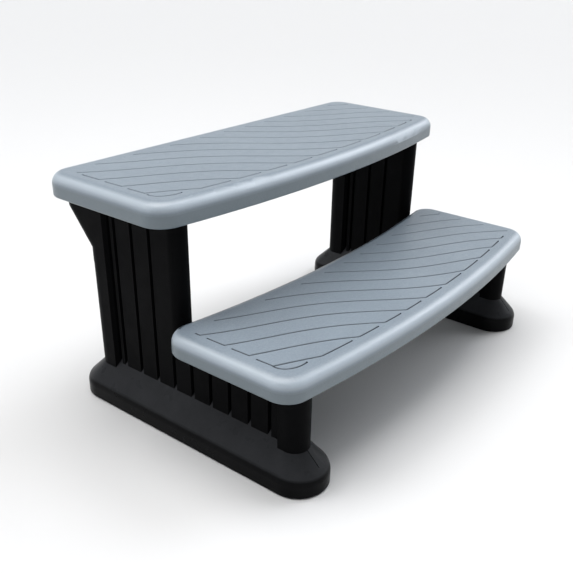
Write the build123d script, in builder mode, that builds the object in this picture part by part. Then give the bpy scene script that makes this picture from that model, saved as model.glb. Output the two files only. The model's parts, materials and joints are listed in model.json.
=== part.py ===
"""Two-tread spa steps: moulded treads on hollow side panels that stand in wide base feet.

Millimetres. X runs across the width, -Y is the front that a person steps on first, +Z is up.
The origin is on the floor, below the middle of the whole object.
"""

import math
import os

from build123d import *

# Overall sizes
TREAD_WIDTH = 762
FRONT_BOW = 31.5  # how far a tread's front edge bulges forward between its ends

# Treads: height of the top, thickness, y of the front and back edges at the ends, bow of the back edge
UPPER = {"top": 381.0, "thickness": 36.0, "front": 3.6, "back": 254.0, "back_bow": 0.0}
LOWER = {"top": 192.5, "thickness": 34.5, "front": -222.5, "back": 20.7, "back_bow": 33.3}
CORNER_RADIUS = 37
TOP_EDGE_RADIUS = 18
BOTTOM_EDGE_RADIUS = 3
TREAD_TOP_WALL = 4.0
TREAD_RIM_WALL = 7.5

# Tread underside
RIB = 3.0
RIB_SETBACK = 7.0  # ribs stop this far above the tread's lower rim
CROSS_RIB_PITCH = 66
CROSS_RIBS_EACH_SIDE = 4
BOSS_RADIUS = 7.0

# Grip grooves: level curves of x + SLOPE * y + a sine ripple, PITCH apart
FIELD_INSET = 29.5
GROOVE_WIDTH = 3.4
GROOVE_DEPTH = 2.0
GROOVE_TAPER = 28  # lean of a groove's walls, in degrees
GROOVES = {
    "upper": {"slope": 1.256, "ripple": 15.3, "along_x": 507, "along_y": 559, "phase": 1.268,
              "start": -141.0, "pitch": 66.4},
    "lower": {"slope": 1.376, "ripple": 16.2, "along_x": 488, "along_y": 667, "phase": 3.642,
              "start": -320.4, "pitch": 65.8},
}
LEFT_GAP = 14  # left between a groove's hook and the next groove, at the left border
FRONT_GAP = 16  # the same at the front border
MIN_GROOVE = 24
BORDER_BAND = 5  # a groove that ends this near the border hooks along it

# Side panels: flat planks between rounded posts, in a plane at x = +-SIDE_X
SIDE_X = 325.2
PLANK_HALF = 17.5
POST_RADIUS = 24.0
PANEL_FOOT_Z = 30
UPPER_SHOULDER_Z = UPPER["top"] - UPPER["thickness"]
LOWER_SHOULDER_Z = LOWER["top"] - LOWER["thickness"]
LOWER_NOSE_Y = -214.5
UPPER_NOSE_Y = 12.6
REAR_Y = 207.3
LOWER_POST_DEPTH = 35
REAR_POST_DEPTH = 43
REAR_FLANK = 3  # how far the rear post's slanted flank runs along the plank
SMOOTH_NOSE = 45  # no flute comes nearer to the upper section's round nose
FLUTE_PITCH = 38.0
FLUTE_COUNT = 9
FIRST_FLUTE_Y = 144.2
POST_FLUTE_Y = 157.5  # one more flute, close beside the rear post
FLUTE_WIDTH = 6.5
FLUTE_FLOOR_WIDTH = 4.0
FLUTE_DEPTH = 5.5
CELL_WALL = 4.0
WING_FOOT_Z = 260.5
WING_TOP_Z = 318.2
WING_Y = 253.5

# Tongues on top of the panels, which the treads slip over
TONGUE_HALF = 12.0
TONGUE_GAP = 0.5
UPPER_TONGUE_Y = (34, 188)
LOWER_TONGUE_Y = (-186, -8)
EAR_REACH = 26
EAR_WIDTH = 26
EAR_THICKNESS = 8
UPPER_EAR_Y = [60, 111, 162]
LOWER_EAR_Y = [-160, -97, -34]

# Base feet
BASE_FRONT_Y = -246.5
BASE_BACK_Y = 242.0
BASE_HALF = 47.5
BASE_LIFT = 0.8  # the pads hold the skirt this far off the floor
SKIRT_TOP_Z = 28.0
SLOPE_RISE = 1.38
CREST_HALF = 8.0
CREST_SETBACK = 57.0  # from the skirt's round end to the crest's
CREST_Z = SKIRT_TOP_Z + SLOPE_RISE * (BASE_HALF - CREST_HALF)
BASE_WALL = 4.0
SKIRT_FILLET = 20.0
SKIRT_TOE_FILLET = 2.0
CREASE_WIDTH = 1.4
CREASE_DEPTH = 1.0
POCKET_CLEARANCE = 0.4
POCKET_FLOOR = 5.0
BASE_RIB_Y = [-180, -130, -50, 20, 110, 160]

# Screws and pads
TREAD_SCREW = {"radius": 2.4, "length": 24, "head_radius": 5.0, "head_height": 3.0}
BASE_SCREW = {"radius": 2.4, "length": 40, "head_radius": 5.0, "head_height": 3.0}
SCREW_CLEARANCE = 0.4
PILOT_CLEARANCE = 0.05
BASE_SCREW_Y = [LOWER_NOSE_Y + POST_RADIUS, FIRST_FLUTE_Y - 4.5 * FLUTE_PITCH, REAR_Y - POST_RADIUS]
BASE_BOSS_RADIUS = 8.0
BASE_BOSS_Z = 12.0
PADS = {"front": -225, "mid_front": -80, "mid_rear": 66, "rear": 214}
PAD_RADIUS = 12.0
PAD_HEIGHT = 5.5
PAD_STEM_RADIUS = 3.95
PAD_STEM_HEIGHT = 10.0

SIDES = {"left": -1, "right": 1}
PARTS_DIR = "parts"
ON_BASE = (Align.CENTER, Align.CENTER, Align.MIN)


def save(part, name):
    """Labels a finished piece and writes it to its own STEP file."""
    part.label = name
    export_step(part, f"{PARTS_DIR}/{name}.step")


# ---------------------------------------------------------------- treads


def bow_circle(end_y, bow, half=TREAD_WIDTH / 2):
    """Centre y and radius of the arc through the tread's two ends and its bowed middle."""
    radius = (half**2 + bow**2) / (2 * bow)
    return end_y - bow + radius, radius


def tread_outline(plan, inset=0.0):
    """The tread seen from above, as a sketch, drawn in by inset."""
    half = TREAD_WIDTH / 2
    front, back, back_bow = plan["front"], plan["back"], plan["back_bow"]
    with BuildSketch() as outline:
        with BuildLine():
            ThreePointArc((-half, front), (0, front - FRONT_BOW), (half, front))
            Line((half, front), (half, back))
            if back_bow:
                ThreePointArc((half, back), (0, back - back_bow), (-half, back))
            else:
                Line((half, back), (-half, back))
            Line((-half, back), (-half, front))
        make_face()
        fillet(outline.vertices(), CORNER_RADIUS)
        if inset:
            offset(amount=-inset)
    return outline.sketch


def tread_cavity(plan, tongue_y, ear_y):
    """The hollow under a tread, already divided by its ribs, tongue sockets and screw bosses."""
    rim_z = plan["top"] - plan["thickness"]
    ceiling_z = plan["top"] - TREAD_TOP_WALL
    rib_z = rim_z + RIB_SETBACK
    rib_height = ceiling_z - rib_z
    mid_y = (plan["front"] + plan["back"]) / 2
    depth = 2 * (plan["back"] - plan["front"])
    rib_xs = [i * CROSS_RIB_PITCH for i in range(-CROSS_RIBS_EACH_SIDE, CROSS_RIBS_EACH_SIDE + 1)]
    inner_outline = tread_outline(plan, TREAD_RIM_WALL)
    lengthwise = long_ribs(plan, 2 * rib_xs[-1] + RIB)
    with BuildPart() as cavity:
        with BuildSketch(Plane.XY.offset(rim_z)):
            add(inner_outline)
        extrude(amount=ceiling_z - rim_z)
        fillet(cavity.faces().sort_by(Axis.Z)[-1].edges(), TOP_EDGE_RADIUS - TREAD_RIM_WALL)
        # ribs across and along the tread
        with Locations(*[(x, mid_y, rib_z) for x in rib_xs]):
            Box(RIB, depth, rib_height, align=ON_BASE, mode=Mode.SUBTRACT)
        with BuildSketch(Plane.XY.offset(rib_z)):
            add(lengthwise)
        extrude(amount=rib_height, mode=Mode.SUBTRACT)
        # two walls that grip each tongue, open where the ears pass the inner one
        for side in SIDES.values():
            grip = TONGUE_HALF + TONGUE_GAP + RIB / 2
            length = tongue_y[1] - tongue_y[0] + 2 * RIB
            centre = sum(tongue_y) / 2
            with Locations((side * (SIDE_X + grip), centre, rib_z), (side * (SIDE_X - grip), centre, rib_z)):
                Box(RIB, length, rib_height, align=ON_BASE, mode=Mode.SUBTRACT)
            slot_x = side * (SIDE_X - grip)
            with Locations(*[(slot_x, y, rim_z) for y in ear_y]):
                Box(RIB, EAR_WIDTH + 2, EAR_THICKNESS + 1, align=ON_BASE)
            # bosses that stand on the ears
            with Locations(*[(side * ear_hole_x(), y, rim_z + EAR_THICKNESS) for y in ear_y]):
                Cylinder(BOSS_RADIUS, ceiling_z - rim_z - EAR_THICKNESS,
                         align=ON_BASE, mode=Mode.SUBTRACT)
    return cavity.part


def ear_hole_x():
    """Distance of an ear's screw hole from the middle of the steps."""
    return SIDE_X - TONGUE_HALF - EAR_REACH + EAR_WIDTH / 2


def long_ribs(plan, span):
    """Two lengthwise ribs that follow the tread's bow, as a sketch."""
    third = (plan["back"] - plan["front"]) / 3
    with BuildSketch() as ribs:
        for step in (1, 2):
            share = 1 - step / 3
            bow = FRONT_BOW * share + plan["back_bow"] * (1 - share)
            centre_y, radius = bow_circle(plan["front"] + step * third, bow)
            with Locations((0, centre_y)):
                Circle(radius + RIB / 2)
                Circle(radius - RIB / 2, mode=Mode.SUBTRACT)
        with Locations((0, (plan["front"] + plan["back"]) / 2)):
            Rectangle(span, 2 * (plan["back"] - plan["front"]), mode=Mode.INTERSECT)
    return ribs.sketch


def groove_x(style, level, y):
    """x of the groove on that level at y, by fixed-point steps on the level equation."""
    x = level - style["slope"] * y
    for _ in range(40):
        wave = 2 * math.pi * (y / style["along_y"] - x / style["along_x"]) + style["phase"]
        x = level - style["slope"] * y - style["ripple"] * math.sin(wave)
    return x


class Field:
    """The grooved field of a tread: its four borders as functions of x."""

    def __init__(self, plan):
        self.half = TREAD_WIDTH / 2 - FIELD_INSET
        self.centre_y, radius = bow_circle(plan["front"], FRONT_BOW)
        self.front_radius = radius - FIELD_INSET
        self.back_edge = plan["back"] - FIELD_INSET
        self.back_circle = None
        if plan["back_bow"]:
            self.back_circle = bow_circle(plan["back"], plan["back_bow"])

    def front_y(self, x):
        return self.centre_y - math.sqrt(self.front_radius**2 - x**2)

    def back_y(self, x):
        if self.back_circle is None:
            return self.back_edge
        centre_y, radius = self.back_circle
        return centre_y - math.sqrt((radius + FIELD_INSET) ** 2 - x**2)

    def holds(self, x, y):
        return abs(x) <= self.half and self.front_y(x) <= y <= self.back_y(x)


def groove_run(style, field, level):
    """Points along one groove from its back end to its front end, inside the field."""
    lowest = field.front_y(0) - 1
    highest = field.back_y(field.half) + 1
    steps = 240
    inside = []
    for i in range(steps + 1):
        y = highest - (highest - lowest) * i / steps
        x = groove_x(style, level, y)
        if field.holds(x, y):
            inside.append((x, y))
    return inside


def groove_runs(style, field):
    """Every groove that crosses the field, from left to right."""
    runs = []
    reach = int(2 * TREAD_WIDTH / style["pitch"])
    for i in range(-reach, reach + 1):
        run = groove_run(style, field, style["start"] + i * style["pitch"])
        if len(run) > 2 and math.dist(run[0], run[-1]) > MIN_GROOVE:
            runs.append(run)
    return runs


def thin(points, keep=7):
    """Evenly picked points of a run, its two ends among them."""
    last = len(points) - 1
    return [points[round(i * last / (keep - 1))] for i in range(keep)]


def groove_strokes(plan, style):
    """Centre lines of all grooves of a tread, with the hooks that run along the field's border."""
    field = Field(plan)
    runs = groove_runs(style, field)
    left_x, top_left_y = -field.half, field.back_y(-field.half)
    corner_y = field.front_y(left_x)
    right_end = field.half - CORNER_RADIUS / 2
    strokes = []
    for run, behind in zip(runs, runs[1:] + [[(left_x, top_left_y), (right_end, 0)]]):
        start_x, start_y = run[0]
        end_x, end_y = run[-1]
        strokes.append(Spline(*thin(run)))
        # at the left border a groove turns back along it, towards the groove behind
        if start_x < left_x + BORDER_BAND:
            hook_y = (behind[0][1] if behind[0][0] < left_x + BORDER_BAND else top_left_y) - LEFT_GAP
            if hook_y > start_y + GROOVE_WIDTH:
                strokes.append(Line((start_x, start_y - GROOVE_WIDTH / 2), (left_x, hook_y)))
        # at the front border it turns along the bow, towards the next groove
        if end_y < field.front_y(end_x) + BORDER_BAND:
            hook_x = min(behind[-1][0], right_end) - FRONT_GAP
            if hook_x > end_x + GROOVE_WIDTH:
                middle = (end_x + hook_x) / 2
                strokes.append(ThreePointArc((end_x, end_y), (middle, field.front_y(middle)),
                                             (hook_x, field.front_y(hook_x))))
    # the short crescent that closes the front left corner
    strokes.append(Spline((left_x, corner_y + 25), (left_x + 6, corner_y + 7),
                          (left_x + 23, corner_y - 2), (left_x + 39, corner_y - 3)))
    return strokes


def groove_cutter(stroke, top_z):
    """The cut with sloping walls that one stroke makes in a tread's top."""
    start, heading = stroke @ 0, stroke % 0
    across = Plane((start.X, start.Y, top_z), x_dir=(heading.Y, -heading.X, 0), z_dir=heading)
    spread = GROOVE_DEPTH * math.tan(math.radians(GROOVE_TAPER))
    top_half = GROOVE_WIDTH / 2 + spread
    floor_half = GROOVE_WIDTH / 2 - spread
    with BuildPart() as cutter:
        with BuildLine() as path:
            add(stroke.moved(Location((0, 0, top_z))))
        # the profile's y points down: from one depth above the tread's top to one below it
        with BuildSketch(across):
            with BuildLine():
                Polyline((-top_half, -GROOVE_DEPTH), (top_half, -GROOVE_DEPTH),
                         (floor_half, GROOVE_DEPTH), (-floor_half, GROOVE_DEPTH), close=True)
            make_face()
        sweep(path=path.line)
    return cutter.part


def make_tread(plan, style, tongue_y, ear_y):
    """A moulded tread: rounded shell, ribbed underside, tongue sockets and grip grooves."""
    rim_z = plan["top"] - plan["thickness"]
    outline = tread_outline(plan)
    cavity = tread_cavity(plan, tongue_y, ear_y)
    grooves = [groove_cutter(stroke, plan["top"]) for stroke in groove_strokes(plan, style)]
    with BuildPart() as tread:
        with BuildSketch(Plane.XY.offset(rim_z)):
            add(outline)
        extrude(amount=plan["thickness"])
        fillet(tread.faces().sort_by(Axis.Z)[-1].edges(), TOP_EDGE_RADIUS)
        fillet(tread.faces().sort_by(Axis.Z)[0].edges(), BOTTOM_EDGE_RADIUS)
        add(cavity, mode=Mode.SUBTRACT)
        add(grooves, mode=Mode.SUBTRACT)
        pilot = TREAD_SCREW["radius"] + PILOT_CLEARANCE
        depth = TREAD_SCREW["length"] - EAR_THICKNESS + TREAD_SCREW["head_height"] + 1
        holes = [(side * ear_hole_x(), y, rim_z + EAR_THICKNESS) for side in SIDES.values() for y in ear_y]
        with Locations(*holes):
            Cylinder(pilot, depth, align=ON_BASE, mode=Mode.SUBTRACT)
    return tread.part


# ---------------------------------------------------------------- side panels


def flute_ys(lower):
    """y of each flute: all of them under the lower tread, only the rear ones above it."""
    ys = [FIRST_FLUTE_Y - i * FLUTE_PITCH for i in range(FLUTE_COUNT)]
    return ys if lower else [y for y in ys if y > UPPER_NOSE_Y + SMOOTH_NOSE]


def panel_section(lower=True):
    """The side panel cut level: a fluted plank, with a rear post and a front post or a round nose."""
    front_radius = POST_RADIUS if lower else PLANK_HALF
    front_y = (LOWER_NOSE_Y if lower else UPPER_NOSE_Y) + front_radius
    back_y = REAR_Y - POST_RADIUS
    flank_y = REAR_Y - REAR_POST_DEPTH
    with BuildSketch() as section:
        with Locations((SIDE_X, (front_y + back_y) / 2)):
            Rectangle(2 * PLANK_HALF, back_y - front_y)
        for y in flute_ys(lower) + [POST_FLUTE_Y]:
            for side in SIDES.values():
                face_x = SIDE_X + side * PLANK_HALF
                floor_x = face_x - side * FLUTE_DEPTH
                with BuildLine():
                    Polyline((face_x, y - FLUTE_WIDTH / 2), (floor_x, y - FLUTE_FLOOR_WIDTH / 2),
                             (floor_x, y + FLUTE_FLOOR_WIDTH / 2), (face_x, y + FLUTE_WIDTH / 2), close=True)
                make_face(mode=Mode.SUBTRACT)
        with Locations((SIDE_X, front_y)):
            Circle(front_radius)
        if lower:
            post_back_y = LOWER_NOSE_Y + LOWER_POST_DEPTH
            with Locations((SIDE_X, (front_y + post_back_y) / 2)):
                Rectangle(2 * POST_RADIUS, post_back_y - front_y)
        with Locations((SIDE_X, back_y)):
            Circle(POST_RADIUS)
        with BuildLine():
            Polyline((SIDE_X - POST_RADIUS, back_y), (SIDE_X - POST_RADIUS, flank_y),
                     (SIDE_X - PLANK_HALF, flank_y - REAR_FLANK), (SIDE_X + PLANK_HALF, flank_y - REAR_FLANK),
                     (SIDE_X + POST_RADIUS, flank_y), (SIDE_X + POST_RADIUS, back_y), close=True)
        make_face()
    return section.sketch


def rear_wing():
    """The gusset that carries the overhang at the back of the upper tread."""
    root_y = REAR_Y - REAR_POST_DEPTH
    with BuildPart() as wing:
        with BuildSketch(Plane.YZ.offset(SIDE_X - POST_RADIUS)):
            with BuildLine():
                Polyline((root_y, WING_FOOT_Z - 20), (REAR_Y, WING_FOOT_Z - 20), (REAR_Y, WING_FOOT_Z),
                         (WING_Y, WING_TOP_Z), (WING_Y, UPPER_SHOULDER_Z), (root_y, UPPER_SHOULDER_Z), close=True)
            make_face()
        extrude(amount=2 * POST_RADIUS)
        outer = wing.edges().filter_by(lambda e: e.center().Y > REAR_Y - 1 and e.length > 15)
        outer = outer.filter_by(lambda e: abs(abs(e.center().X - SIDE_X) - POST_RADIUS) < 0.1)
        outer = outer.filter_by(lambda e: e.center().Z < UPPER_SHOULDER_Z - 1)
        fillet(outer, POST_RADIUS - 1)
    return wing.part


def panel_cells():
    """The hollow cells inside the planks and posts, open at the panel's foot."""
    flutes = sorted(flute_ys(True))
    with BuildPart() as cells:
        for low, high in zip(flutes, flutes[1:]):
            centre = (low + high) / 2
            width = high - low - FLUTE_WIDTH - CELL_WALL
            if abs(centre - BASE_SCREW_Y[1]) < BASE_BOSS_RADIUS:
                continue
            under_upper = centre > UPPER_NOSE_Y + PLANK_HALF
            top = (UPPER_SHOULDER_Z if under_upper else LOWER_SHOULDER_Z) - CELL_WALL
            with Locations((SIDE_X, centre, PANEL_FOOT_Z)):
                Box(2 * (PLANK_HALF - CELL_WALL), width, top - PANEL_FOOT_Z,
                    align=ON_BASE)
        for y, top in ((BASE_SCREW_Y[0], LOWER_SHOULDER_Z), (BASE_SCREW_Y[2], UPPER_SHOULDER_Z)):
            with Locations((SIDE_X, y, PANEL_FOOT_Z)):
                Cylinder(POST_RADIUS - CELL_WALL - 1.5, top - CELL_WALL - PANEL_FOOT_Z,
                         align=ON_BASE)
                Cylinder(BASE_BOSS_RADIUS - 1, top - PANEL_FOOT_Z,
                         align=ON_BASE, mode=Mode.SUBTRACT)
    return cells.part


def ear_outline(ear_y):
    """Seen from above, the screw ears that stand out inwards from a tongue."""
    root_x = SIDE_X - TONGUE_HALF + 1
    with BuildSketch() as ears:
        for y in ear_y:
            with Locations(((root_x + ear_hole_x()) / 2, y)):
                Rectangle(root_x - ear_hole_x(), EAR_WIDTH)
            with Locations((ear_hole_x(), y)):
                Circle(EAR_WIDTH / 2)
    return ears.sketch


def make_panel():
    """The right-hand side panel: one hollow moulding from the base foot to both treads."""
    full_section = panel_section(lower=True)
    rear_section = panel_section(lower=False)
    wing = rear_wing()
    cells = panel_cells()
    tongues = [(UPPER, UPPER_TONGUE_Y, UPPER_EAR_Y), (LOWER, LOWER_TONGUE_Y, LOWER_EAR_Y)]
    with BuildPart() as panel:
        with BuildSketch(Plane.XY.offset(PANEL_FOOT_Z)):
            add(full_section)
        extrude(amount=LOWER_SHOULDER_Z - PANEL_FOOT_Z)
        with BuildSketch(Plane.XY.offset(LOWER_SHOULDER_Z)):
            add(rear_section)
        extrude(amount=UPPER_SHOULDER_Z - LOWER_SHOULDER_Z)
        add(wing)
        add(cells, mode=Mode.SUBTRACT)
        for plan, tongue_y, ear_y in tongues:
            # a tongue reaches up to the underside of its tread's top, which rests on it
            shoulder_z = plan["top"] - plan["thickness"]
            with Locations((SIDE_X, sum(tongue_y) / 2, shoulder_z)):
                Box(2 * TONGUE_HALF, tongue_y[1] - tongue_y[0], plan["thickness"] - TREAD_TOP_WALL, align=ON_BASE)
            with BuildSketch(Plane.XY.offset(shoulder_z)):
                add(ear_outline(ear_y))
            extrude(amount=EAR_THICKNESS)
            with Locations(*[Plane((ear_hole_x(), y, shoulder_z), z_dir=(0, 0, -1)) for y in ear_y]):
                CounterBoreHole(TREAD_SCREW["radius"] + SCREW_CLEARANCE, TREAD_SCREW["head_radius"] + 0.5,
                                TREAD_SCREW["head_height"], EAR_THICKNESS)
        pilot_depth = BASE_SCREW["length"] - (PANEL_FOOT_Z - BASE_BOSS_Z) + 2
        with Locations(*[(SIDE_X, y, PANEL_FOOT_Z) for y in BASE_SCREW_Y]):
            Cylinder(BASE_SCREW["radius"] + PILOT_CLEARANCE, pilot_depth, align=ON_BASE, mode=Mode.SUBTRACT)
    return panel.part


# ---------------------------------------------------------------- base feet


def foot_slot(half, setback, wall=0.0):
    """A stadium about the foot's centre line, setback from the foot's ends, drawn in by wall."""
    length = BASE_BACK_Y - BASE_FRONT_Y - 2 * setback
    with BuildSketch() as slot:
        with Locations((SIDE_X, (BASE_FRONT_Y + BASE_BACK_Y) / 2)):
            SlotOverall(length - 2 * wall, 2 * (half - wall), rotation=90)
    return slot.sketch


def pocket_outline(wall):
    """The foot's pocket seen from above, without the flutes, grown by wall."""
    with BuildSketch() as pocket:
        with Locations((SIDE_X, (LOWER_NOSE_Y + REAR_Y) / 2)):
            SlotOverall(REAR_Y - LOWER_NOSE_Y + 2 * wall, 2 * (POST_RADIUS + wall), rotation=90)
    return pocket.sketch


def foot_cavity():
    """The hollow under a foot, around the panel's pocket, divided by ribs and bosses."""
    knee_z = SKIRT_TOP_Z - BASE_WALL / 2
    inner_crest_z = CREST_Z - BASE_WALL * math.hypot(1, SLOPE_RISE)
    wide, narrow = foot_slot(BASE_HALF, 0, BASE_WALL), foot_slot(CREST_HALF, CREST_SETBACK, BASE_WALL)
    pocket = pocket_outline(BASE_WALL)
    with BuildPart() as cavity:
        with BuildSketch(Plane.XY.offset(BASE_LIFT)):
            add(wide)
        extrude(amount=knee_z - BASE_LIFT)
        with BuildSketch(Plane.XY.offset(knee_z)):
            add(wide)
        with BuildSketch(Plane.XY.offset(inner_crest_z)):
            add(narrow)
        loft()
        # the pocket's floor and walls, then the ribs and bosses around them
        with BuildSketch(Plane.XY.offset(PANEL_FOOT_Z - POCKET_FLOOR)):
            add(pocket)
        extrude(amount=CREST_Z, mode=Mode.SUBTRACT)
        with Locations(*[(SIDE_X, y, BASE_LIFT + RIB) for y in BASE_RIB_Y]):
            Box(2 * BASE_HALF, RIB, CREST_Z, align=ON_BASE, mode=Mode.SUBTRACT)
        with Locations(*[(SIDE_X, y, BASE_BOSS_Z) for y in BASE_SCREW_Y]):
            Cylinder(BASE_BOSS_RADIUS, CREST_Z, align=ON_BASE, mode=Mode.SUBTRACT)
        with Locations(*[(SIDE_X, y, PAD_HEIGHT) for y in PADS.values()]):
            Cylinder(PAD_RADIUS + 1, CREST_Z, align=ON_BASE, mode=Mode.SUBTRACT)
    return cavity.part


def creases():
    """Cutters for the fine parting crease down the middle of each of the foot's round ends."""
    rise = (CREST_Z - SKIRT_TOP_Z) / CREST_SETBACK
    lean = math.hypot(1, rise)
    inward = (CREASE_DEPTH * rise / lean, -CREASE_DEPTH / lean)
    with BuildPart() as cutter:
        for end_y, facing in ((BASE_FRONT_Y, 1), (BASE_BACK_Y, -1)):
            slope = [(SKIRT_FILLET / 2, SKIRT_TOP_Z + rise * SKIRT_FILLET / 2), (CREST_SETBACK, CREST_Z)]
            below = [(y + inward[0], z + inward[1]) for y, z in slope]
            above = [(y - inward[0], z - inward[1]) for y, z in reversed(slope)]
            with BuildSketch(Plane.YZ.offset(SIDE_X - CREASE_WIDTH / 2)):
                with BuildLine():
                    Polyline(*[(end_y + facing * y, z) for y, z in below + above], close=True)
                make_face()
            extrude(amount=CREASE_WIDTH)
    return cutter.part


def make_foot():
    """The right-hand base foot: skirt, sloped shoulders and the pocket that holds the panel."""
    wide, narrow = foot_slot(BASE_HALF, 0), foot_slot(CREST_HALF, CREST_SETBACK)
    cavity = foot_cavity()
    parting = creases()
    panel_shape = panel_section(lower=True)
    with BuildPart() as foot:
        with BuildSketch(Plane.XY.offset(BASE_LIFT)):
            add(wide)
        extrude(amount=SKIRT_TOP_Z - BASE_LIFT)
        with BuildSketch(Plane.XY.offset(SKIRT_TOP_Z)):
            add(wide)
        with BuildSketch(Plane.XY.offset(CREST_Z)):
            add(narrow)
        loft()
        knee = foot.edges().filter_by_position(Axis.Z, SKIRT_TOP_Z - 0.1, SKIRT_TOP_Z + 0.1)
        fillet(knee, SKIRT_FILLET)
        fillet(foot.faces().sort_by(Axis.Z)[0].edges(), SKIRT_TOE_FILLET)
        add(cavity, mode=Mode.SUBTRACT)
        add(parting, mode=Mode.SUBTRACT)
        with BuildSketch(Plane.XY.offset(PANEL_FOOT_Z)):
            add(panel_shape)
            offset(amount=POCKET_CLEARANCE, kind=Kind.INTERSECTION)
        extrude(amount=CREST_Z, mode=Mode.SUBTRACT)
        with Locations(*[(SIDE_X, y, BASE_LIFT) for y in BASE_SCREW_Y]):
            Cylinder(BASE_SCREW["radius"] + SCREW_CLEARANCE, PANEL_FOOT_Z, align=ON_BASE, mode=Mode.SUBTRACT)
        with Locations(*[(SIDE_X, y, PAD_HEIGHT) for y in PADS.values()]):
            Cylinder(PAD_STEM_RADIUS + PILOT_CLEARANCE, PAD_STEM_HEIGHT, align=ON_BASE, mode=Mode.SUBTRACT)
    return foot.part


# ---------------------------------------------------------------- screws and pads


def make_screw(size):
    """A pan-head screw that points up, with the underside of its head at z = 0."""
    with BuildPart() as screw:
        Cylinder(size["radius"], size["length"], align=ON_BASE)
        with Locations((0, 0, -size["head_height"])):
            Cylinder(size["head_radius"], size["head_height"], align=ON_BASE)
        fillet(screw.edges().filter_by(GeomType.CIRCLE).sort_by(Axis.Z)[0], 1.2)
        chamfer(screw.edges().filter_by(GeomType.CIRCLE).sort_by(Axis.Z)[-1], 1.4)
        recess = size["head_height"] * 0.6
        with Locations((0, 0, -size["head_height"])):
            Box(5.2, 1.2, recess * 2, mode=Mode.SUBTRACT)
            Box(1.2, 5.2, recess * 2, mode=Mode.SUBTRACT)
    return screw.part


def make_pad():
    """A rubber foot pad with a push-in stem, standing on z = 0."""
    with BuildPart() as pad:
        Cylinder(PAD_RADIUS, PAD_HEIGHT, align=ON_BASE)
        fillet(pad.edges().filter_by(GeomType.CIRCLE).sort_by(Axis.Z)[0], 1.5)
        with Locations((0, 0, PAD_HEIGHT)):
            Cylinder(PAD_STEM_RADIUS, PAD_STEM_HEIGHT - 1, align=ON_BASE)
    return pad.part


def place(part, spots):
    """Copies of a part at several places, as one compound of separate solids."""
    return Compound(children=[part.moved(Location(spot)) for spot in spots])


def main():
    os.makedirs(PARTS_DIR, exist_ok=True)

    save(make_tread(UPPER, GROOVES["upper"], UPPER_TONGUE_Y, UPPER_EAR_Y), "upper_tread")
    save(make_tread(LOWER, GROOVES["lower"], LOWER_TONGUE_Y, LOWER_EAR_Y), "lower_tread")

    right_panel = make_panel()
    right_foot = make_foot()
    save(right_panel, "right_side_panel")
    save(right_foot, "right_base_foot")
    save(right_panel.mirror(Plane.YZ), "left_side_panel")
    save(right_foot.mirror(Plane.YZ), "left_base_foot")

    tread_screw = make_screw(TREAD_SCREW)
    base_screw = make_screw(BASE_SCREW)
    pad = make_pad()
    head = TREAD_SCREW["head_height"]
    for name, side in SIDES.items():
        upper = [(side * ear_hole_x(), y, UPPER_SHOULDER_Z + head) for y in UPPER_EAR_Y]
        lower = [(side * ear_hole_x(), y, LOWER_SHOULDER_Z + head) for y in LOWER_EAR_Y]
        base = [(side * SIDE_X, y, BASE_BOSS_Z) for y in BASE_SCREW_Y]
        save(place(tread_screw, upper), f"{name}_upper_tread_screws")
        save(place(tread_screw, lower), f"{name}_lower_tread_screws")
        save(place(base_screw, base), f"{name}_base_screws")
        for spot, y in PADS.items():
            save(pad.moved(Location((side * SIDE_X, y, 0))), f"{name}_foot_pad_{spot}")


main()
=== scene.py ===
"""Spa steps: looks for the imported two-tread steps, in the frame's own metres."""

import json
import math

import bpy
from mathutils import Matrix, Vector


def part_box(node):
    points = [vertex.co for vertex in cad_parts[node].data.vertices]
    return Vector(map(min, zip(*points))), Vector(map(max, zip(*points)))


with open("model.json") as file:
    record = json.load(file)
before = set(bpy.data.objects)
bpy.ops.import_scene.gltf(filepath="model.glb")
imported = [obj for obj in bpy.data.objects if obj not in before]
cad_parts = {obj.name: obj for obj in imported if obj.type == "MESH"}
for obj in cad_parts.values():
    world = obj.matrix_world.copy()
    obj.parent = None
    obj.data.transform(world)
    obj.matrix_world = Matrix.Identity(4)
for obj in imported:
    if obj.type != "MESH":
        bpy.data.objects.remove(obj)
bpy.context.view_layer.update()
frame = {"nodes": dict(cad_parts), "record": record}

nodes = frame["nodes"]

# ---------------------------------------------------------------- camera

CAMERA_PLACE = (-1.0190, -0.7166, 0.7084)
CAMERA_AZIMUTH = -53.603  # degrees, 0 looks along +Y
CAMERA_ELEVATION = 27.848
CAMERA_ROLL = 1.812
CAMERA_LENS = 47.10
CAMERA_SENSOR = 36  # millimetres across, as the lens's length is in millimetres
CAMERA_SHIFT = (-0.0335, 0.0700)  # the steps stand off the middle of a cropped picture


def make_camera():
    """A camera to the front left and above, which shows both treads and the left panel."""
    azimuth, elevation = math.radians(CAMERA_AZIMUTH), math.radians(CAMERA_ELEVATION)
    roll = math.radians(CAMERA_ROLL)
    ahead = Vector((-math.sin(azimuth) * math.cos(elevation),
                    math.cos(azimuth) * math.cos(elevation), -math.sin(elevation)))
    level_right = ahead.cross(Vector((0, 0, 1))).normalized()
    level_up = level_right.cross(ahead)
    right = level_right * math.cos(roll) + level_up * math.sin(roll)
    up = level_up * math.cos(roll) - level_right * math.sin(roll)
    data = bpy.data.cameras.new("camera")
    data.lens = CAMERA_LENS
    data.sensor_width = CAMERA_SENSOR
    data.shift_x, data.shift_y = CAMERA_SHIFT
    camera = bpy.data.objects.new("camera", data)
    bpy.context.scene.collection.objects.link(camera)
    turn = Matrix((right, up, -ahead)).transposed().to_4x4()
    camera.matrix_world = Matrix.Translation(CAMERA_PLACE) @ turn
    bpy.context.scene.camera = camera


# ---------------------------------------------------------------- light and floor

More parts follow.
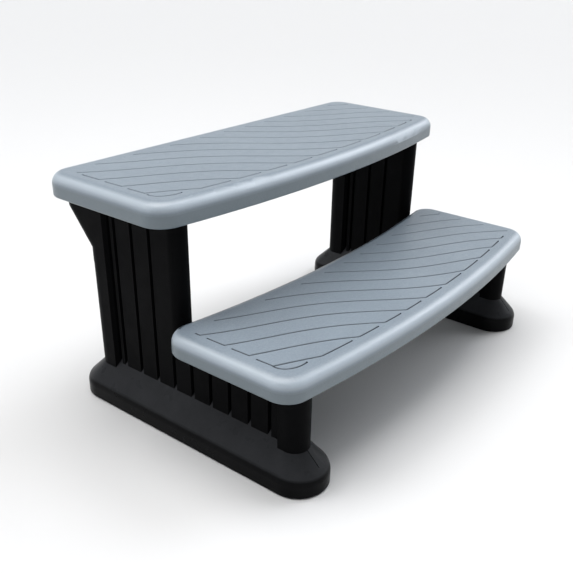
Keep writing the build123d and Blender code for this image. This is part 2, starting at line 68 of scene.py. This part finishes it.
FLOOR_SIZE = 60.0
FLOOR_GREY = 0.72
FLOOR_ROUGHNESS = 0.9
HORIZON_GREY = 0.92
SKY_GREY = 0.15
SKY_HEIGHTS = (0.12, 0.38)  # z of the direction where the horizon's grey ends and the sky's is reached
SKY_TINT = (0.98, 0.99, 1.0, 1)
SOFTBOX_DISTANCE = 3.0
SOFTBOXES = {  # far ones: (direction they stand in, strength, angle across, colour)
    "above": ((0.06, 0.20, 0.97), 1.75, 56, (1.0, 0.995, 0.99)),
    "back_left": ((-0.38, 0.55, 0.74), 1.05, 34, (0.97, 0.98, 1.0)),
    "right": ((0.77, -0.22, 0.58), 1.45, 36, (0.92, 0.95, 1.0)),
}
LAMPS = {  # near ones: (place, size, watts, colour), each aimed at the middle of the steps
    "overhead": ((-0.1, 0.1, 2.2), 1.6, 16, (1.0, 0.99, 0.98)),
}
AIM = Vector((0, 0, 0.22))
RAMP_SOCKETS = ("From Min", "From Max", "To Min", "To Max")


def make_world():
    """A plain studio surround, pale at the horizon and dimmer above, with no film curve over it."""
    world = bpy.data.worlds.new("studio")
    world.use_nodes = True
    tree = world.node_tree
    split = tree.nodes.new("ShaderNodeSeparateXYZ")
    height = tree.nodes.new("ShaderNodeMapRange")
    for socket, number in zip(RAMP_SOCKETS, (*SKY_HEIGHTS, HORIZON_GREY, SKY_GREY)):
        height.inputs[socket].default_value = number
    tree.links.new(tree.nodes.new("ShaderNodeTexCoord").outputs["Generated"], split.inputs["Vector"])
    tree.links.new(split.outputs["Z"], height.inputs["Value"])
    tree.links.new(height.outputs["Result"], tree.nodes["Background"].inputs["Strength"])
    tree.nodes["Background"].inputs["Color"].default_value = SKY_TINT
    bpy.context.scene.world = world
    bpy.context.scene.view_settings.view_transform = "Standard"


def add_lamp(name, data, place, towards):
    """Puts a lamp at a place, shining towards a direction, hidden from the camera."""
    lamp = bpy.data.objects.new(name, data)
    lamp.location = place
    lamp.visible_camera = False
    lamp.rotation_euler = towards.to_track_quat("-Z", "Y").to_euler()
    bpy.context.scene.collection.objects.link(lamp)


def make_lights():
    for name, (towards, strength, angle, colour) in SOFTBOXES.items():
        data = bpy.data.lights.new(name, "SUN")
        data.energy = strength
        data.angle = math.radians(angle)
        data.color = colour
        add_lamp(name, data, SOFTBOX_DISTANCE * Vector(towards), -Vector(towards))
    for name, (place, size, watts, colour) in LAMPS.items():
        data = bpy.data.lights.new(name, "AREA")
        data.shape = "DISK"
        data.size = size
        data.energy = watts
        data.color = colour
        add_lamp(name, data, place, AIM - Vector(place))


def make_floor():
    half = FLOOR_SIZE / 2
    corners = [(-half, -half, 0), (half, -half, 0), (half, half, 0), (-half, half, 0)]
    mesh = bpy.data.meshes.new("floor")
    mesh.from_pydata(corners, [], [range(len(corners))])
    floor = bpy.data.objects.new("floor", mesh)
    bpy.context.scene.collection.objects.link(floor)
    material = bpy.data.materials.new("floor")
    material.use_nodes = True
    shader = material.node_tree.nodes["Principled BSDF"]
    shader.inputs["Base Color"].default_value = (FLOOR_GREY, FLOOR_GREY, FLOOR_GREY, 1)
    shader.inputs["Roughness"].default_value = FLOOR_ROUGHNESS
    mesh.materials.append(material)


# ---------------------------------------------------------------- materials

TREADS = ("upper_tread", "lower_tread")
BOW_RADIUS = 2.320  # of both treads' front edges, as seen from above
RIM_WIDTH = 0.024  # no groove comes nearer to a tread's edge
RIM_BLUR = 0.001
GROOVE_SHADE_STARTS = (0.0003, 0.0013)  # depths below the top between which the painted groove shade fades in
GROOVE_SHADE_ENDS = (0.0030, 0.0026)  # and, from below, between which it is gone and back to full

TREAD_COLOURS = {
    "dark": (0.188, 0.229, 0.272),
    "pale": (0.212, 0.257, 0.302),
    "speck": (0.28, 0.33, 0.38),
    # painted highlight on the rounded rim
    "rim": (0.395, 0.457, 0.516),
    # painted shade on the upright sides and undersides
    "side": (0.112, 0.147, 0.168),
    # painted shade in the grip grooves
    "groove": (0.034, 0.043, 0.056),
}
BLACK_COLOURS = {"dark": (0.0014, 0.0015, 0.0018), "pale": (0.0030, 0.0031, 0.0036)}
BLACK_FINISHES = {  # index of refraction, roughness, colour of the faces that look up, a painted sheen
    "panel_resin": (1.10, 0.46, (0.010, 0.0103, 0.011)),
    "foot_resin": (1.15, 0.30, (0.0330, 0.0342, 0.0372)),
}
RUBBER_COLOURS = {"dark": (0.012, 0.012, 0.012), "pale": (0.03, 0.03, 0.03)}
STEEL_COLOURS = {"dark": (0.5, 0.5, 0.49), "pale": (0.68, 0.68, 0.66)}


class Shader:
    """A principled material under construction, with short names for the nodes used here."""

    def __init__(self, name, roughness, **sockets):
        self.material = bpy.data.materials.new(name)
        self.material.use_nodes = True
        self.tree = self.material.node_tree
        self.principled = self.tree.nodes["Principled BSDF"]
        self.principled.inputs["Roughness"].default_value = roughness
        for socket, value in sockets.items():
            self.principled.inputs[socket.replace("_", " ")].default_value = value
        self.place = self.add("ShaderNodeTexCoord").outputs["Object"]

    def add(self, kind, **settings):
        node = self.tree.nodes.new(kind)
        for key, value in settings.items():
            setattr(node, key, value)
        return node

    def link(self, source, target):
        self.tree.links.new(source, target)

    def noise(self, scale, detail=3.0, roughness=0.55, stretch=None):
        """A noise between 0 and 1, its scale in features per metre."""
        node = self.add("ShaderNodeTexNoise")
        node.inputs["Scale"].default_value = scale
        node.inputs["Detail"].default_value = detail
        node.inputs["Roughness"].default_value = roughness
        source = self.place
        if stretch:
            mapping = self.add("ShaderNodeMapping")
            mapping.inputs["Scale"].default_value = stretch
            self.link(self.place, mapping.inputs["Vector"])
            source = mapping.outputs["Vector"]
        self.link(source, node.inputs["Vector"])
        return node.outputs["Fac"]

    def ramp(self, value, low, high, to_low=0.0, to_high=1.0):
        """The value's stretch from low to high, turned into to_low to to_high and held outside it."""
        node = self.add("ShaderNodeMapRange")
        for socket, number in zip(RAMP_SOCKETS, (low, high, to_low, to_high)):
            node.inputs[socket].default_value = number
        self.link(value, node.inputs["Value"])
        return node.outputs["Result"]

    def math(self, operation, first, second=0.0):
        """One step of arithmetic on two sockets or numbers."""
        node = self.add("ShaderNodeMath", operation=operation)
        for socket, value in zip(node.inputs, (first, second)):
            if isinstance(value, float):
                socket.default_value = value
            else:
                self.link(value, socket)
        return node.outputs["Value"]

    def facing_up(self):
        """z of the surface's direction in the room: 1 on level tops, 0 on upright faces."""
        node = self.add("ShaderNodeSeparateXYZ")
        self.link(self.add("ShaderNodeNewGeometry").outputs["Normal"], node.inputs["Vector"])
        return node.outputs["Z"]

    def distance(self, x, y, centre_y):
        """Distance of a point from the z-parallel line through (0, centre_y)."""
        along = self.math("SUBTRACT", y, centre_y)
        squares = [self.math("MULTIPLY", side, side) for side in (x, along)]
        return self.math("SQRT", self.math("ADD", *squares))

    def mix(self, factor, first, second):
        """Colour mix; first and second are colours or sockets."""
        node = self.add("ShaderNodeMix", data_type="RGBA")
        self.link(factor, node.inputs["Factor"])
        for socket, colour in ((node.inputs[6], first), (node.inputs[7], second)):
            if isinstance(colour, tuple):
                socket.default_value = (*colour, 1)
            else:
                self.link(colour, socket)
        return node.outputs[2]

    def colour(self, socket):
        self.link(socket, self.principled.inputs["Base Color"])

    def roughness(self, socket):
        self.link(socket, self.principled.inputs["Roughness"])

    def bump(self, *layers):
        """Chains bumps, each (height socket, depth in metres)."""
        last = None
        for height, depth in layers:
            node = self.add("ShaderNodeBump")
            node.inputs["Strength"].default_value = 1.0
            node.inputs["Distance"].default_value = depth
            self.link(height, node.inputs["Height"])
            if last:
                self.link(last, node.inputs["Normal"])
            last = node.outputs["Normal"]
        self.link(last, self.principled.inputs["Normal"])


def groove_painted_shade(shader, tread):
    """Mask of the painted shade in a tread's grip grooves: 1 in the grooves, 0 elsewhere: just below
    the top, well inside the rim.
    """
    node = shader.add("ShaderNodeSeparateXYZ")
    shader.link(shader.place, node.inputs["Vector"])
    x, y, z = (node.outputs[axis] for axis in "XYZ")
    (_, front, _), (half_width, _, top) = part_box(tread)
    shallow = shader.ramp(z, *(top - depth for depth in GROOVE_SHADE_STARTS))
    deep = shader.ramp(z, *(top - depth for depth in GROOVE_SHADE_ENDS))
    inset = half_width - RIM_WIDTH
    sides = shader.ramp(shader.math("ABSOLUTE", x), inset, inset - RIM_BLUR)
    ahead = shader.distance(x, y, front + BOW_RADIUS)
    inset = BOW_RADIUS - RIM_WIDTH
    total = shader.ramp(ahead, inset, inset - RIM_BLUR)
    for mask in (shallow, deep, sides):
        total = shader.math("MULTIPLY", total, mask)
    return total


def tread_resin(tread):
    """Blue-grey moulded resin: fine leather grain and slow cloudy variation, with a painted highlight
    where the rim is rounded, painted shade on its upright sides and undersides and in the grooves."""
    shader = Shader(tread + "_resin", 0.4, IOR=1.5, Specular_IOR_Level=0.8)
    colours = TREAD_COLOURS
    cloud = shader.noise(9, 4, 0.6)
    speck = shader.noise(260, 5, 0.7)
    base = shader.mix(shader.ramp(cloud, 0.3, 0.7), colours["dark"], colours["pale"])
    base = shader.mix(shader.ramp(speck, 0.42, 0.66, 0, 0.35), base, colours["speck"])
    upward = shader.facing_up()
    # Painted highlight: the rim colour is mixed in where the rim rounds over between the top and the
    # sides.
    off_the_sides = shader.ramp(upward, 0.15, 0.55)
    off_the_top = shader.ramp(upward, 0.97, 0.80, 0, 0.85)
    base = shader.mix(shader.math("MULTIPLY", off_the_sides, off_the_top), base, colours["rim"])
    # Painted shade: the side colour darkens the upright sides and undersides.
    base = shader.mix(shader.ramp(upward, 0.35, 0.0, 0, 0.85), base, colours["side"])
    # Painted shade in the grip grooves.
    shader.colour(shader.mix(groove_painted_shade(shader, tread), base, colours["groove"]))
    shader.roughness(shader.ramp(shader.noise(60, 3), 0.3, 0.7, 0.31, 0.39))
    shader.bump((shader.noise(520, 4, 0.65), 0.00045), (shader.noise(14, 3), 0.0006))
    return shader.material


def black_resin(name):
    """Black moulded resin with a fine grain, greyer and uneven on the faces that look up: a painted
    sheen.
    """
    index, roughness, upward_sheen = BLACK_FINISHES[name]
    shader = Shader(name, roughness, IOR=index)
    cloud = shader.noise(12, 4, 0.6)
    base = shader.mix(shader.ramp(cloud, 0.3, 0.7), BLACK_COLOURS["dark"], BLACK_COLOURS["pale"])
    # Painted sheen: the faces that look up are mixed towards a lighter colour.
    level = shader.ramp(shader.facing_up(), 0.36, 0.56)
    uneven = shader.ramp(shader.noise(30, 5, 0.65), 0.2, 0.8, 0.7, 1.0)
    shader.colour(shader.mix(shader.math("MULTIPLY", level, uneven), base, upward_sheen))
    worn = shader.noise(45, 3)
    shader.roughness(shader.ramp(worn, 0.3, 0.7, roughness - 0.05, roughness + 0.07))
    shader.bump((shader.noise(600, 3), 0.00018), (shader.noise(20, 2), 0.0004))
    return shader.material


def pad_rubber():
    shader = Shader("pad_rubber", 0.8)
    grain = shader.noise(300, 3)
    shader.colour(shader.mix(grain, RUBBER_COLOURS["dark"], RUBBER_COLOURS["pale"]))
    shader.bump((grain, 0.0003))
    return shader.material


def screw_steel():
    shader = Shader("screw_steel", 0.35, Metallic=1.0)
    brushed = shader.noise(500, 2, 0.5, stretch=(1, 1, 0.05))
    shader.colour(shader.mix(brushed, STEEL_COLOURS["dark"], STEEL_COLOURS["pale"]))
    shader.bump((brushed, 0.0001))
    return shader.material


def dress_nodes():
    """Gives every CAD node its finish."""
    finishes = {"pad_rubber": pad_rubber(), "screw_steel": screw_steel()}
    panel, foot = (black_resin(name) for name in BLACK_FINISHES)
    for entry in frame["record"]["subparts"]:
        name, slot = entry["node"], entry["material_slot"]
        if name in TREADS:
            finish = tread_resin(name)
        elif slot == "panel_resin":
            finish = foot if "foot" in name else panel
        else:
            finish = finishes[slot]
        mesh = nodes[name].data
        for index in range(max(1, len(mesh.materials))):
            if len(mesh.materials) <= index:
                mesh.materials.append(None)
            mesh.materials[index] = finish


make_camera()
make_world()
make_lights()
make_floor()
dress_nodes()
